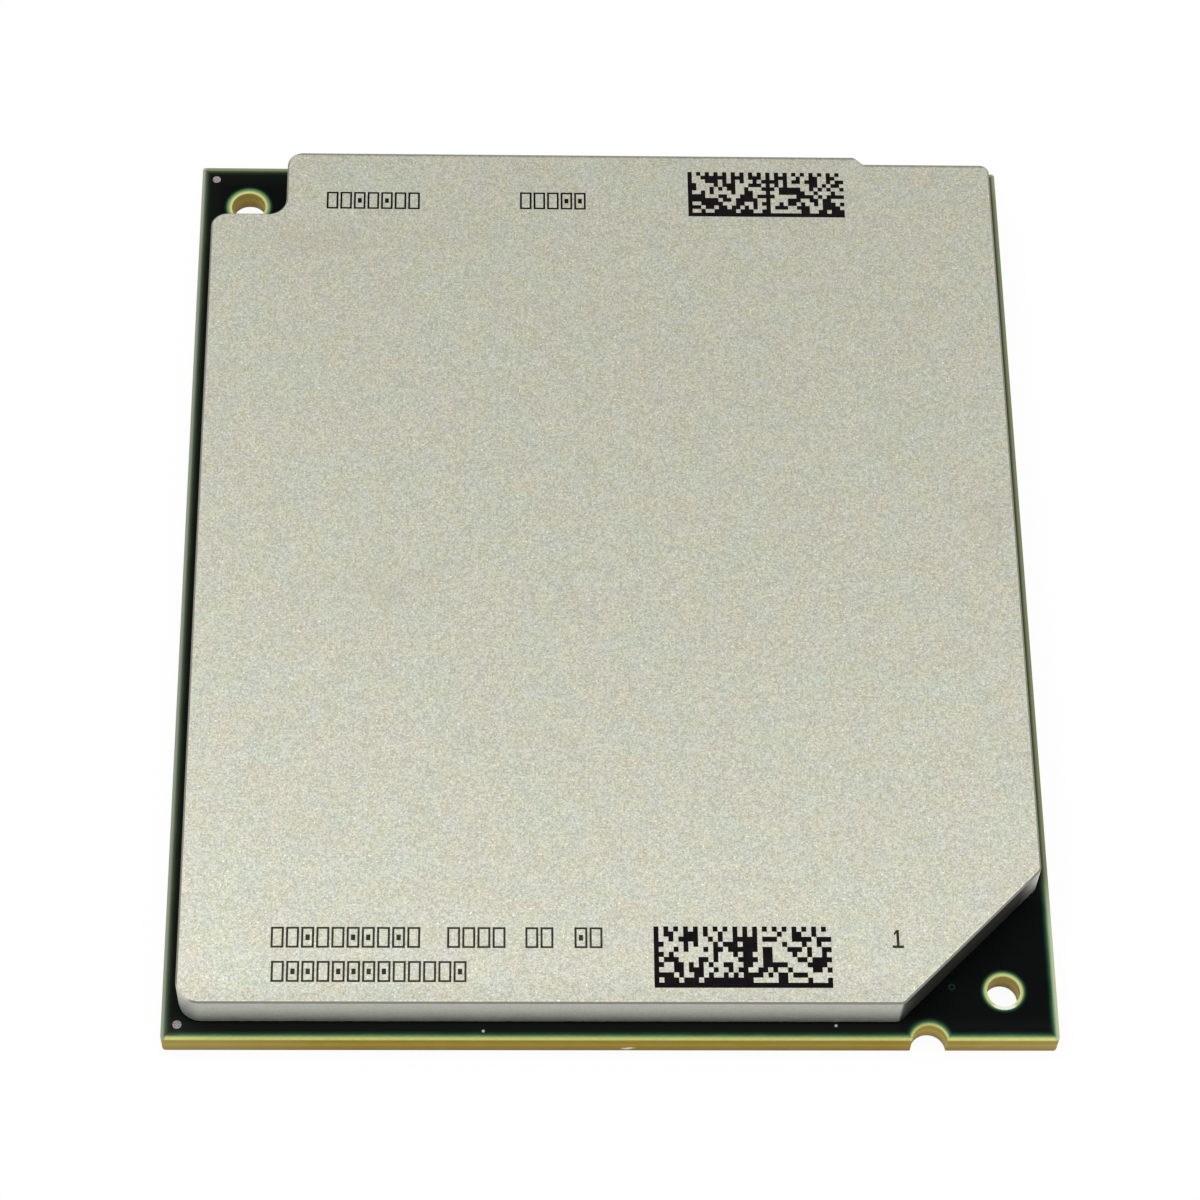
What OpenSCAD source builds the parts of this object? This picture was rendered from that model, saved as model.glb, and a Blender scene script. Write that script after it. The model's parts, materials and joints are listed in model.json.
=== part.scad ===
// Computer processor module: a laminate board with a land grid underneath,
// two dies and their capacitors, and a heat-spreader lid glued over them.
// Origin: centre of the board's underside. +X is right, +Y runs to the back edge, +Z is up.

/* [Board] */
// Width of the board, left to right
board_w = 71.5; // [66:0.5:80]
// Depth of the board, front to back
board_d = 84.5; // [80:0.5:95]
// Thickness of the laminate
board_t = 2.1; // [1.6:0.1:3]
// Radius of the board's corners
board_corner_r = 0.3; // [0.1:0.05:0.4]
// Distance of each locating hole's axis from the two nearest edges
hole_inset = 4.25; // [3.8:0.05:5]
// Diameter of the front right locating hole
front_hole_d = 2.65; // [2:0.05:3.2]
// Diameter of the rear left locating hole
rear_hole_d = 3; // [2:0.05:3.2]
// Distance of the keying notch from the board's right edge
notch_inset = 10.4; // [9:0.1:20]
// Diameter of the keying notch's round end
notch_d = 2.85; // [2:0.05:3]
// Depth of the keying notch, from the front edge
notch_depth = 1.32; // [0.8:0.02:1.4]

/* [Solder mask] */
// Thickness of the mask on the board's top face
mask_t = 0.03; // [0.02:0.01:0.06]
// Bare laminate left along the front edge
mask_front = 0.36; // [0.2:0.02:0.6]
// Bare laminate left along the back edge
mask_back = 0.32; // [0.2:0.02:0.6]
// Bare laminate left along the two sides
mask_side = 0.34; // [0.2:0.02:0.6]
// Width of the bare ring round the front right hole
front_ring = 0.3; // [0.2:0.02:0.6]
// Width of the bare ring round the rear left hole
rear_ring = 0.4; // [0.2:0.02:0.6]
// Width of the bare ring round the keying notch
notch_ring = 0.24; // [0.2:0.02:0.6]
// Diameter of a position mark
mark_d = 0.72; // [0.5:0.02:0.9]
// Distance of the position marks from the board's edges
mark_inset = 1.28; // [1.1:0.02:1.4]
// Gap between a position mark and the mask
mark_gap = 0.05; // [0.02:0.01:0.1]

/* [Lid] */
// Height of the lid, from its foot to its top face
lid_h = 3.62; // [2.6:0.02:5]
// Gap from the board's left edge to the lid's wall
lid_left_gap = 1.31; // [0.8:0.01:2]
// Gap from the board's right edge to the lid's wall
lid_right_gap = 1.08; // [0.8:0.01:2]
// Gap from the board's front edge to the lid's wall
lid_front_gap = 1.48; // [1.2:0.02:2.4]
// Gap from the board's back edge to the lid's wall
lid_back_gap = 1; // [0.6:0.05:2]
// Width of the rim that stands round the lid's pocket
lid_rim_w = 4.2; // [3.6:0.1:6]
// Corner radius of the lid's pocket
lid_pocket_r = 2; // [1:0.1:3]
// Distance from the rear hole's axis to the notch's side wall
lid_notch_side = 3.6; // [3:0.05:5]
// Distance from the rear hole's axis to the notch's front wall
lid_notch_front = 3.35; // [3:0.05:5]
// Distance from the front hole's axis to the chamfered wall
lid_chamfer_clear = 4.05; // [3:0.05:6]
// Set-back of the back wall's right end
lid_step = 0.75; // [0.5:0.05:1.5]
// Length of the set-back stretch
lid_step_l = 11.3; // [6:0.1:20]
// Radius of the front left corner
lid_front_r = 1.9; // [0.8:0.1:2.4]
// Radius of the two corners beside the notch
lid_corner_r = 1.4; // [0.8:0.1:2]
// Radius of the notch's inner corner
lid_notch_r = 1.6; // [0.8:0.1:2]
// Radius of the back right corner
lid_back_r = 0.85; // [0.6:0.05:2]
// Radius of the chamfer's two corners
lid_chamfer_r = 0.9; // [0.5:0.05:2]
// Radius of the step's two corners
lid_step_r = 0.5; // [0.4:0.05:0.6]
// Break on the lid's top edge
lid_break = 0.15; // [0.05:0.05:0.25]

/* [Seal] */
// Thickness of the adhesive between the lid's foot and the mask
seal_t = 0.25; // [0.1:0.05:0.5]
// Width of the adhesive band
seal_w = 2.4; // [1:0.1:2.6]
// Distance of the band from the lid's outer wall
seal_inset = 0.7; // [0.4:0.1:0.9]
// Corner radius of the band
seal_r = 1; // [0.6:0.1:1.2]

/* [Dies] */
// Width of a die, left to right
die_w = 24; // [16:0.5:34]
// Depth of a die, front to back
die_d = 26; // [18:0.5:28]
// Thickness of a die
die_t = 0.78; // [0.5:0.02:1]
// Gap between the two dies
die_gap = 8; // [6.5:0.5:10]
// Height of the joint between a die and the board
bump_gap = 0.08; // [0.05:0.01:0.12]
// Reach of the underfill's fillet past the die
fillet_w = 0.9; // [0.4:0.1:1.2]
// Height of the underfill's fillet above the mask
fillet_h = 0.5; // [0.3:0.05:0.55]
// Thickness of the thermal pad on a die
pad_t = 0.1; // [0.05:0.01:0.3]
// Distance of the thermal pad from the die's edge
pad_inset = 0.4; // [0.2:0.1:1]

/* [Capacitors] */
// Length of a capacitor over its terminals
cap_l = 1.6; // [1:0.1:2]
// Width of a capacitor
cap_w = 0.8; // [0.5:0.1:1.2]
// Height of a capacitor
cap_h = 0.55; // [0.3:0.05:0.6]
// Length of a terminal
cap_end = 0.35; // [0.2:0.05:0.45]
// Step from a terminal's face down to the ceramic body
cap_wrap = 0.04; // [0.02:0.01:0.08]
// Distance from one capacitor to the next in a row
cap_pitch = 2.5; // [2:0.1:5]
// Gap between the underfill and the nearest capacitors
cap_clear = 1; // [0.5:0.1:2]

/* [Lands] */
// Distance from one land to the next
land_pitch = 1.27; // [1.1:0.01:3]
// Diameter of a land
land_d = 0.8; // [0.5:0.05:0.95]
// Depth of the field that the lands stand in
land_t = 0.05; // [0.03:0.01:0.1]
// Distance of the land field from the board's edges
land_margin = 1.5; // [1.2:0.1:3]
// Distance of the land field from the axes of the holes and the notch
land_keepout = 3.2; // [2.4:0.1:4]

/* [Hidden] */
$fn = 48;

// How far a cutting tool reaches past the face that it cuts
past = 1;
// How much larger a corner's disc is than the corner's radius, so that its arc crosses the walls
arc_excess = 0.002;
// How much shallower the broken edge is on a convex corner, and how much deeper on a concave one,
// than on a straight run, so that the cuts cross each other
break_step = 0.01;
// Angle by which the cut on a concave corner runs on along the straight edges
break_lap = 20;

// Heights, from the board's underside up
mask_z = board_t + mask_t;
lid_z = mask_z + seal_t;
lid_top = lid_z + lid_h;
die_z = mask_z + bump_gap;
pad_z = die_z + die_t;
pocket_h = pad_z + pad_t - lid_z;

// Axes of the locating holes and the notch
rear_hole = [-board_w / 2 + hole_inset, board_d / 2 - hole_inset];
front_hole = -rear_hole;
notch = [board_w / 2 - notch_inset, notch_depth - (board_d + notch_d) / 2];

// The lid's walls
lid_left = -board_w / 2 + lid_left_gap;
lid_right = board_w / 2 - lid_right_gap;
lid_front = -board_d / 2 + lid_front_gap;
lid_back = board_d / 2 - lid_back_gap;
lid_low_back = lid_back - lid_step;
lid_shoulder = rear_hole.y - lid_notch_front;
lid_tab_side = rear_hole.x + lid_notch_side;
// x minus y, which is the same all along the chamfered wall
chamfer = front_hole.x - front_hole.y - lid_chamfer_clear * sqrt(2);

// The lid's corners as x, y and radius, counterclockwise from the front left:
// first those of the front and right, then the step's two, then those of the back and left
front_corners = [
    [lid_left, lid_front, lid_front_r],
    [chamfer + lid_front, lid_front, lid_chamfer_r],
    [lid_right, lid_right - chamfer, lid_chamfer_r],
    [lid_right, lid_low_back, lid_back_r]
];
step_corners = [
    [lid_right - lid_step_l, lid_low_back, lid_step_r],
    [lid_right - lid_step_l - lid_step, lid_back, lid_step_r]
];
function back_corners(back) = [
    [lid_tab_side, back, lid_corner_r],
    [lid_tab_side, lid_shoulder, lid_notch_r],
    [lid_left, lid_shoulder, lid_corner_r]
];
lid_path = concat(front_corners, step_corners, back_corners(lid_back));
// The same outline with a straight back wall, which the pocket and the seal follow
inner_path = concat(front_corners, back_corners(lid_low_back));

// Both dies with the gap between them
dies_d = 2 * die_d + die_gap;
die_y = (die_d + die_gap) / 2;
underfill_w = die_w + 2 * fillet_w;
underfill_d = die_d + 2 * fillet_w;

// Middle lines of the rows of capacitors
cap_row_x = underfill_w / 2 + cap_clear + cap_l / 2;
cap_row_y = dies_d / 2 + fillet_w + cap_clear + cap_l / 2;

// Columns and rows of lands in a quarter of the field
field_w = board_w - 2 * land_margin;
field_d = board_d - 2 * land_margin;
land_columns = floor((field_w - land_d) / (2 * land_pitch) + 0.5);
land_rows = floor((field_d - land_d) / (2 * land_pitch) + 0.5);

// Corner geometry

function unit(v) = v / norm(v);
function flat(corner) = [corner.x, corner.y];
function before(path, i) = path[(i + len(path) - 1) % len(path)];
function after(path, i) = path[(i + 1) % len(path)];
function run_in(path, i) = unit(flat(path[i]) - flat(before(path, i)));
function run_out(path, i) = unit(flat(after(path, i)) - flat(path[i]));
// Angle that the outline turns by at a corner, positive where the corner is convex
function turn(path, i) =
    let (u = run_in(path, i), v = run_out(path, i))
    atan2(u.x * v.y - u.y * v.x, u * v);
function tangent(path, i) = path[i].z * tan(abs(turn(path, i)) / 2);
function arc_start(path, i) = flat(path[i]) - tangent(path, i) * run_in(path, i);
function arc_end(path, i) = flat(path[i]) + tangent(path, i) * run_out(path, i);
function inward(u) = [-u.y, u.x];
function arc_centre(path, i) =
    arc_start(path, i) + sign(turn(path, i)) * path[i].z * inward(run_in(path, i));
// The outline moved inwards by d, with corners of radius r
function inset(path, d, r) = [
    for (i = [0:len(path) - 1])
        let (a = inward(run_in(path, i)), b = inward(run_out(path, i)))
        let (p = flat(path[i]) + d * (a + b) / (1 + a * b))
        [p.x, p.y, r]
];

module corner_disc(path, i) {
    translate(arc_centre(path, i)) circle(r = path[i].z + arc_excess);
}

// The outline with flat corners, plus a disc in each convex corner and less a disc in each concave one
module rounded_outline(path) {
    corners = [0:len(path) - 1];
    difference() {
        union() {
            polygon([for (i = corners, end = [arc_start(path, i), arc_end(path, i)]) end]);
            for (i = corners) if (turn(path, i) > 0) corner_disc(path, i);
        }
        for (i = corners) if (turn(path, i) < 0) corner_disc(path, i);
    }
}

// Section of a cut that breaks an edge to the given depth: the edge at the origin, the solid towards +X
function break_section(depth) =
    let (reach = depth / 2)
    [[-reach, reach], [-reach, -depth - reach], [depth + reach, reach]];

// Cut along a straight top edge, which lies on the X axis with the solid on its left
module edge_cut(length) {
    rotate([90, 0, 90]) linear_extrude(length) polygon(break_section(lid_break));
}

// Cut round a corner of radius r, over the given angle
module corner_cut(r, convex, angle) {
    side = convex ? -1 : 1;
    lap = convex ? 0 : break_lap;
    section = break_section(lid_break + side * break_step);
    rotate(-lap)
        rotate_extrude(angle = angle + 2 * lap)
            polygon([for (p = section) [r + side * p.x, p.y]]);
}

// Ends of a straight cut: the sharp corner where that is convex, the arc's end where it is concave
function cut_start(path, i) = turn(path, i) > 0 ? flat(path[i]) : arc_end(path, i);
function cut_end(path, i) = turn(path, i) > 0 ? flat(path[i]) : arc_start(path, i);

module top_edge_break(path) {
    for (i = [0:len(path) - 1]) {
        start = cut_start(path, i);
        run = cut_end(path, (i + 1) % len(path)) - start;
        centre = arc_centre(path, i);
        sweep = turn(path, i);
        spoke = (sweep > 0 ? arc_start(path, i) : arc_end(path, i)) - centre;
        translate([start.x, start.y, lid_top])
            rotate(atan2(run.y, run.x))
                edge_cut(norm(run));
        translate([centre.x, centre.y, lid_top])
            rotate(atan2(spoke.y, spoke.x))
                corner_cut(path[i].z, sweep > 0, abs(sweep));
    }
}

// Board

module through_hole(axis, d) {
    translate([axis.x, axis.y, -past]) cylinder(d = d, h = board_t + 2 * past);
}

// The land field's outline, clear of the holes and the notch
module land_field() {
    corner = land_keepout + hole_inset - land_margin;
    difference() {
        square([field_w, field_d], center = true);
        translate([-field_w / 2 - past, field_d / 2 - corner]) square(corner + past);
        translate([field_w / 2 - corner, -field_d / 2 - past]) square(corner + past);
        translate([notch.x - land_keepout, notch.y]) square([2 * land_keepout, land_keepout]);
    }
}

module board_outline() {
    straight_w = board_w - 2 * board_corner_r;
    straight_d = board_d - 2 * board_corner_r;
    square([board_w, straight_d], center = true);
    square([straight_w, board_d], center = true);
    for (x = [-1, 1], y = [-1, 1])
        translate([x * straight_w / 2, y * straight_d / 2]) circle(r = board_corner_r);
}

module substrate() {
    color("darkkhaki")
        difference() {
            linear_extrude(board_t) board_outline();
            through_hole(front_hole, front_hole_d);
            through_hole(rear_hole, rear_hole_d);
            through_hole(notch, notch_d);
            translate([0, 0, -past]) linear_extrude(land_t + past) land_field();
        }
}

function mark_places() = [
    for (y = [-1, 1]) [-board_w / 2 + mark_inset, y * (board_d / 2 - mark_inset)]
];

module solder_mask() {
    mask_w = board_w - 2 * mask_side;
    mask_d = board_d - mask_front - mask_back;
    color("darkslategray")
        translate([0, 0, board_t])
            linear_extrude(mask_t)
                difference() {
                    translate([-mask_w / 2, mask_front - board_d / 2]) square([mask_w, mask_d]);
                    translate(front_hole) circle(d = front_hole_d + 2 * front_ring);
                    translate(rear_hole) circle(d = rear_hole_d + 2 * rear_ring);
                    translate(notch) circle(d = notch_d + 2 * notch_ring);
                    for (place = mark_places()) translate(place) circle(d = mark_d + 2 * mark_gap);
                }
}

module position_marks() {
    color("rosybrown")
        for (place = mark_places())
            translate([place.x, place.y, board_t]) cylinder(d = mark_d, h = mask_t);
}

// Lid

module lid() {
    color("silver")
        difference() {
            translate([0, 0, lid_z]) linear_extrude(lid_h) rounded_outline(lid_path);
            translate([0, 0, lid_z - past])
                linear_extrude(pocket_h + past)
                    rounded_outline(inset(inner_path, lid_rim_w, lid_pocket_r));
            top_edge_break(lid_path);
        }
}

module lid_seal() {
    color("dimgray")
        translate([0, 0, mask_z])
            linear_extrude(seal_t)
                difference() {
                    rounded_outline(inset(inner_path, seal_inset, seal_r));
                    rounded_outline(inset(inner_path, seal_inset + seal_w, seal_r));
                }
}

// Dies

module die(y) {
    color("slategray")
        translate([-die_w / 2, y - die_d / 2, die_z]) cube([die_w, die_d, die_t]);
}

module die_front() {
    die(-die_y);
}

module die_rear() {
    die(die_y);
}

// Section of the underfill: upright in the middle, sloping at both sides
module fillet_section(foot, top, length) {
    translate([0, length / 2, 0])
        rotate([90, 0, 0])
            linear_extrude(length)
                polygon([[-foot / 2, 0], [foot / 2, 0], [top / 2, fillet_h], [-top / 2, fillet_h]]);
}

module underfill(y) {
    color("black")
        difference() {
            translate([0, y, mask_z])
                intersection() {
                    fillet_section(underfill_w, die_w, underfill_d);
                    rotate(90) fillet_section(underfill_d, die_d, underfill_w);
                }
            die(y);
        }
}

module underfill_front() {
    underfill(-die_y);
}

module underfill_rear() {
    underfill(die_y);
}

module thermal_pad(y) {
    pad_w = die_w - 2 * pad_inset;
    pad_d = die_d - 2 * pad_inset;
    color("lightgray")
        translate([-pad_w / 2, y - pad_d / 2, pad_z]) cube([pad_w, pad_d, pad_t]);
}

module thermal_pad_front() {
    thermal_pad(-die_y);
}

module thermal_pad_rear() {
    thermal_pad(die_y);
}

// Capacitors

// Ceramic body, between the two terminals
module ceramic_body() {
    size = [cap_l - 2 * cap_end, cap_w - 2 * cap_wrap, cap_h - 2 * cap_wrap];
    color("tan") translate([-size.x / 2, -size.y / 2, cap_wrap]) cube(size);
}

module terminals() {
    color("lightsteelblue")
        for (side = [-1, 1])
            translate([side * (cap_l - cap_end) / 2 - cap_end / 2, -cap_w / 2, 0])
                cube([cap_end, cap_w, cap_h]);
}

// Copies of the children in a row of the given length, centred, along Y at x or along X at y
module row_along_y(x, length) {
    count = floor((length - cap_w) / cap_pitch) + 1;
    for (i = [0:count - 1])
        translate([x, (i - (count - 1) / 2) * cap_pitch, mask_z]) children();
}

module row_along_x(y, length) {
    rotate(90) row_along_y(y, length) children();
}

module capacitor_bodies_left() {
    row_along_y(-cap_row_x, dies_d) ceramic_body();
}

module capacitor_bodies_right() {
    row_along_y(cap_row_x, dies_d) ceramic_body();
}

module capacitor_bodies_front() {
    row_along_x(-cap_row_y, die_w) ceramic_body();
}

module capacitor_bodies_rear() {
    row_along_x(cap_row_y, die_w) ceramic_body();
}

module capacitor_bodies_middle() {
    row_along_x(0, die_w) ceramic_body();
}

module capacitor_terminals_left() {
    row_along_y(-cap_row_x, dies_d) terminals();
}

module capacitor_terminals_right() {
    row_along_y(cap_row_x, dies_d) terminals();
}

module capacitor_terminals_front() {
    row_along_x(-cap_row_y, die_w) terminals();
}

module capacitor_terminals_rear() {
    row_along_x(cap_row_y, die_w) terminals();
}

module capacitor_terminals_middle() {
    row_along_x(0, die_w) terminals();
}

// Lands

// Whether a land at this place is clear of the holes' corners and the notch
function land_fits(place) =
    let (reach = land_keepout + land_d / 2)
    !(place.x < rear_hole.x + reach && place.y > rear_hole.y - reach)
    && !(place.x > front_hole.x - reach && place.y < front_hole.y + reach)
    && !(abs(place.x - notch.x) < reach && place.y < notch.y + reach);

// A quarter of the land grid, on the side that the two signs give
module land_quarter(side, end) {
    color("gold")
        for (i = [0:land_columns - 1], j = [0:land_rows - 1]) {
            place = [side * (i + 0.5) * land_pitch, end * (j + 0.5) * land_pitch];
            if (land_fits(place))
                translate([place.x, place.y, 0]) cylinder(d = land_d, h = land_t);
        }
}

module lands_front_left() {
    land_quarter(-1, -1);
}

module lands_front_right() {
    land_quarter(1, -1);
}

module lands_rear_left() {
    land_quarter(-1, 1);
}

module lands_rear_right() {
    land_quarter(1, 1);
}

substrate();
solder_mask();
position_marks();
lid();
lid_seal();
die_front();
die_rear();
underfill_front();
underfill_rear();
thermal_pad_front();
thermal_pad_rear();
capacitor_bodies_left();
capacitor_bodies_right();
capacitor_bodies_front();
capacitor_bodies_rear();
capacitor_bodies_middle();
capacitor_terminals_left();
capacitor_terminals_right();
capacitor_terminals_front();
capacitor_terminals_rear();
capacitor_terminals_middle();
lands_front_left();
lands_front_right();
lands_rear_left();
lands_rear_right();
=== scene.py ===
"""Processor module: a bead-blasted nickel lid glued over a layered board with a gold land grid.

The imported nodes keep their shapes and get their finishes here. The marking on top of the lid is
the one thing that is added: code-like blocks, rows of plain boxes and an index numeral, as thin meshes.
"""

import json
import logging
import math
from collections.abc import Mapping, Sequence
from dataclasses import dataclass
from enum import Enum
from functools import cache, partial, reduce

import bmesh
import bpy
from mathutils import Color, Matrix, Vector


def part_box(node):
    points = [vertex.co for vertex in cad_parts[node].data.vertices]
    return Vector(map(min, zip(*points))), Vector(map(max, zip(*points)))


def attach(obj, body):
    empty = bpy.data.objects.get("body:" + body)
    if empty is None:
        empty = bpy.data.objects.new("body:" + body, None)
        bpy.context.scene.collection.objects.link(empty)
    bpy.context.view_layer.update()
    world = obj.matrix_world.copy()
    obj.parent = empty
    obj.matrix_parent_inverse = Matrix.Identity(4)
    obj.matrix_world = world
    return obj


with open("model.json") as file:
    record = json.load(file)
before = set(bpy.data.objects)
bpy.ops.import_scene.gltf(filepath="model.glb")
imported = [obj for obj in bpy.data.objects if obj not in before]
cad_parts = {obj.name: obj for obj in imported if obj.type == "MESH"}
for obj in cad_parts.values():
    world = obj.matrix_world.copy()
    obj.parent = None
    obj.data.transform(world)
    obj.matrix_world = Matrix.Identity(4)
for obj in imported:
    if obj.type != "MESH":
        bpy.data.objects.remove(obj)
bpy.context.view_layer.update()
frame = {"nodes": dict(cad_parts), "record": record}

MM = 0.001
WELD = 1e-6
CELL_HALF = 0.5
DIAGONAL = math.sqrt(0.5)
LOG = logging.getLogger("processor_module")
Socket = bpy.types.NodeSocket
Feed = float | Sequence[float] | Socket
Colour = tuple[float, float, float, float]
Point = tuple[float, float, float]
Flat = tuple[float, float]
Span = tuple[float, float]

# Between which values a mottling swings, and the sum of two.
SWING: Span = (0.3, 0.7)
DOUBLE_SWING: Span = (0.7, 1.3)
# Where the bright front right corner passes into the darker right side beside the lid, in millimetres; on
# the bare rim that darker side is painted shade of the lid.
RIGHT_RIM_Y: Span = (-31.0, -27.0)


def srgb(red: int, green: int, blue: int) -> Colour:
    """Scene-linear colour, with full alpha, of screen levels from 0 to 255."""
    return (*Color((red / 255, green / 255, blue / 255)).from_srgb_to_scene_linear(), 1.0)


def metres(*lengths: float) -> tuple[float, ...]:
    """Lengths in metres that are given in millimetres."""
    return tuple(length * MM for length in lengths)


class Graph:
    """A node tree in the making, with short ways to add the nodes used here."""

    def __init__(self, tree: bpy.types.NodeTree) -> None:
        """Keep the tree that the nodes go into."""
        self.tree = tree

    def feed(self, socket: Socket, feed: Feed) -> None:
        """Set what an input gets.

        Args:
            socket: The input.
            feed: An output to link to it, or a constant.
        """
        if isinstance(feed, Socket):
            self.tree.links.new(feed, socket)
        else:
            socket.default_value = feed

    def add(self, kind: str, inputs: Mapping[str, Feed] | None = None, **settings: object) -> bpy.types.Node:
        """Add a node.

        Args:
            kind: Blender's name for the type of node.
            inputs: What each input gets, by the input's name.
            settings: Properties of the node itself.

        Returns:
            The new node.
        """
        node = self.tree.nodes.new(kind)
        for name, value in settings.items():
            setattr(node, name, value)
        for name, feed in (inputs or {}).items():
            self.feed(node.inputs[name], feed)
        return node

    def chain(self, node: bpy.types.Node, feeds: Sequence[Feed]) -> None:
        """Feed a node's inputs in their order."""
        for socket, feed in zip(node.inputs, feeds):
            self.feed(socket, feed)

    def math(self, operation: str, *feeds: Feed) -> Socket:
        """Add a sum of plain numbers.

        Args:
            operation: Blender's name for the operation.
            feeds: Its operands.

        Returns:
            The result.
        """
        node = self.add("ShaderNodeMath", operation=operation)
        self.chain(node, feeds)
        return node.outputs[0]

    def times(self, *feeds: Feed) -> Socket:
        """The product of some numbers."""
        return reduce(partial(self.math, "MULTIPLY"), feeds)

    def least(self, *feeds: Feed) -> Socket:
        """The smallest of some numbers."""
        return reduce(partial(self.math, "MINIMUM"), feeds)

    def most(self, *feeds: Feed) -> Socket:
        """The largest of some numbers."""
        return reduce(partial(self.math, "MAXIMUM"), feeds)

    def minus(self, whole: Feed, part: Feed) -> Socket:
        """One number less another."""
        return self.math("SUBTRACT", whole, part)

    def share(self, first: Socket, second: Socket, share: float) -> Socket:
        """Two numbers in a fixed proportion, with this share of the second."""
        return self.math("MULTIPLY_ADD", second, share, self.times(first, 1.0 - share))

    def vector(self, operation: str, *feeds: Feed) -> Socket:
        """Add a sum of vectors.

        Args:
            operation: Blender's name for the operation.
            feeds: Its operands.

        Returns:
            The result, a number for LENGTH, DISTANCE and DOT_PRODUCT and a vector otherwise.
        """
        node = self.add("ShaderNodeVectorMath", operation=operation)
        self.chain(node, feeds)
        return node.outputs["Value" if operation in ("LENGTH", "DISTANCE", "DOT_PRODUCT") else "Vector"]

    def parts(self, vector: Socket) -> tuple[Socket, Socket, Socket]:
        """The X, Y and Z of a vector."""
        node = self.add("ShaderNodeSeparateXYZ", {"Vector": vector})
        return node.outputs["X"], node.outputs["Y"], node.outputs["Z"]

    def step(self, value: Feed, low: Feed, high: Feed, start: float = 0.0, end: float = 1.0) -> Socket:
        """Change a value smoothly.

        Args:
            value: What the change follows.
            low: Where the change starts.
            high: Where it ends.
            start: The result up to low.
            end: The result from high on.

        Returns:
            The changed value.
        """
        inputs = {"Value": value, "From Min": low, "From Max": high, "To Min": start, "To Max": end}
        return self.add("ShaderNodeMapRange", inputs, interpolation_type="SMOOTHSTEP").outputs["Result"]

    def fade(self, value: Feed, low: Feed, high: Feed) -> Socket:
        """Change smoothly from 1, up to low, to 0, from high on."""
        return self.step(value, low, high, 1.0, 0.0)

    def mix(self, factor: Feed, first: Feed, second: Feed, blend: str = "MIX") -> Socket:
        """Mix two colours.

        Args:
            factor: How much of the second there is, from 0 to 1.
            first: The first colour.
            second: The second colour.
            blend: Blender's name for the way they are mixed.

        Returns:
            The mixed colour.
        """
        node = self.add("ShaderNodeMix", {"Factor": factor}, data_type="RGBA", blend_type=blend)
        inputs = [socket for socket in node.inputs if socket.type == "RGBA"]
        self.feed(inputs[0], first)
        self.feed(inputs[1], second)
        return next(socket for socket in node.outputs if socket.type == "RGBA")

    def ramp(self, factor: Feed, stops: Sequence[tuple[float, Colour]]) -> Socket:
        """Add a row of colours that run into each other.

        Args:
            factor: Where on the row, from 0 to 1.
            stops: Each colour and its place on the row, in order.

        Returns:
            The colour there.
        """
        node = self.add("ShaderNodeValToRGB", {"Fac": factor})
        elements = node.color_ramp.elements
        for element, (position, colour) in zip(elements, (stops[0], stops[-1])):
            element.position = position
            element.color = colour
        for position, colour in stops[1:-1]:
            elements.new(position).color = colour
        return node.outputs["Color"]

    def noise(self, place: Feed, width: Feed, detail: float = 1.0) -> Socket:
        """Add a noise.

        Args:
            place: Where it is read.
            width: About how wide its blots are, in metres.
            detail: How many finer noises lie over it.

        Returns:
            A number around one half.
        """
        scale = self.math("DIVIDE", 1.0, width) if isinstance(width, Socket) else 1.0 / width
        inputs = {"Vector": place, "Scale": scale, "Detail": detail}
        return self.add("ShaderNodeTexNoise", inputs).outputs[0]

    def group(self, tree: bpy.types.NodeTree, inputs: Mapping[str, Feed]) -> bpy.types.NodeOutputs:
        """Place a shared effect.

        Args:
            tree: The effect.
            inputs: What each of its inputs gets.

        Returns:
            Its outputs.
        """
        return self.add("ShaderNodeGroup", inputs, node_tree=tree).outputs


class Effect(Graph):
    """A shader node group that several finishes share."""

    def __init__(
        self, name: str, vectors: Sequence[str], numbers: Sequence[str], results: Sequence[str]
    ) -> None:
        """Make the group with its sockets.

        Args:
            name: The group's name.
            vectors: Names of the inputs that are vectors.
            numbers: Names of the inputs that are numbers.
            results: Names of the outputs, which are numbers.
        """
        super().__init__(bpy.data.node_groups.new(name, "ShaderNodeTree"))
        for labels, way, kind in (
            (vectors, "INPUT", "NodeSocketVector"),
            (numbers, "INPUT", "NodeSocketFloat"),
            (results, "OUTPUT", "NodeSocketFloat"),
        ):
            for label in labels:
                self.tree.interface.new_socket(name=label, in_out=way, socket_type=kind)
        self.given = self.add("NodeGroupInput").outputs
        self.result = self.add("NodeGroupOutput").inputs


@cache
def grain_effect() -> bpy.types.NodeTree:
    """Fine and broad mottling of a surface.

    Returns:
        The group, with outputs Fine and Broad around one half.
    """
    times_as_broad = 6.0
    broad_detail = 2.0
    aside = (0.31, 0.17, 0.23)
    effect = Effect("Grain", ["Vector"], ["Width"], ["Fine", "Broad"])
    width = effect.given["Width"]
    moved = effect.vector("ADD", effect.given["Vector"], aside)
    broad = effect.noise(moved, effect.times(width, times_as_broad), broad_detail)
    effect.feed(effect.result["Fine"], effect.noise(effect.given["Vector"], width))
    effect.feed(effect.result["Broad"], broad)
    return effect.tree


@cache
def spot_effect() -> bpy.types.NodeTree:
    """One oval spot.

    Returns:
        The group, with the output Mask, which is 1 inside the spot and 0 outside.
    """
    effect = Effect("Spot", ["Vector", "Centre", "Reach"], ["Softness"], ["Mask"])
    offset = effect.vector("SUBTRACT", effect.given["Vector"], effect.given["Centre"])
    away = effect.vector("LENGTH", effect.vector("DIVIDE", offset, effect.given["Reach"]))
    inner = effect.minus(1.0, effect.given["Softness"])
    outer = effect.math("ADD", 1.0, effect.given["Softness"])
    effect.feed(effect.result["Mask"], effect.fade(away, inner, outer))
    return effect.tree


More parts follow.
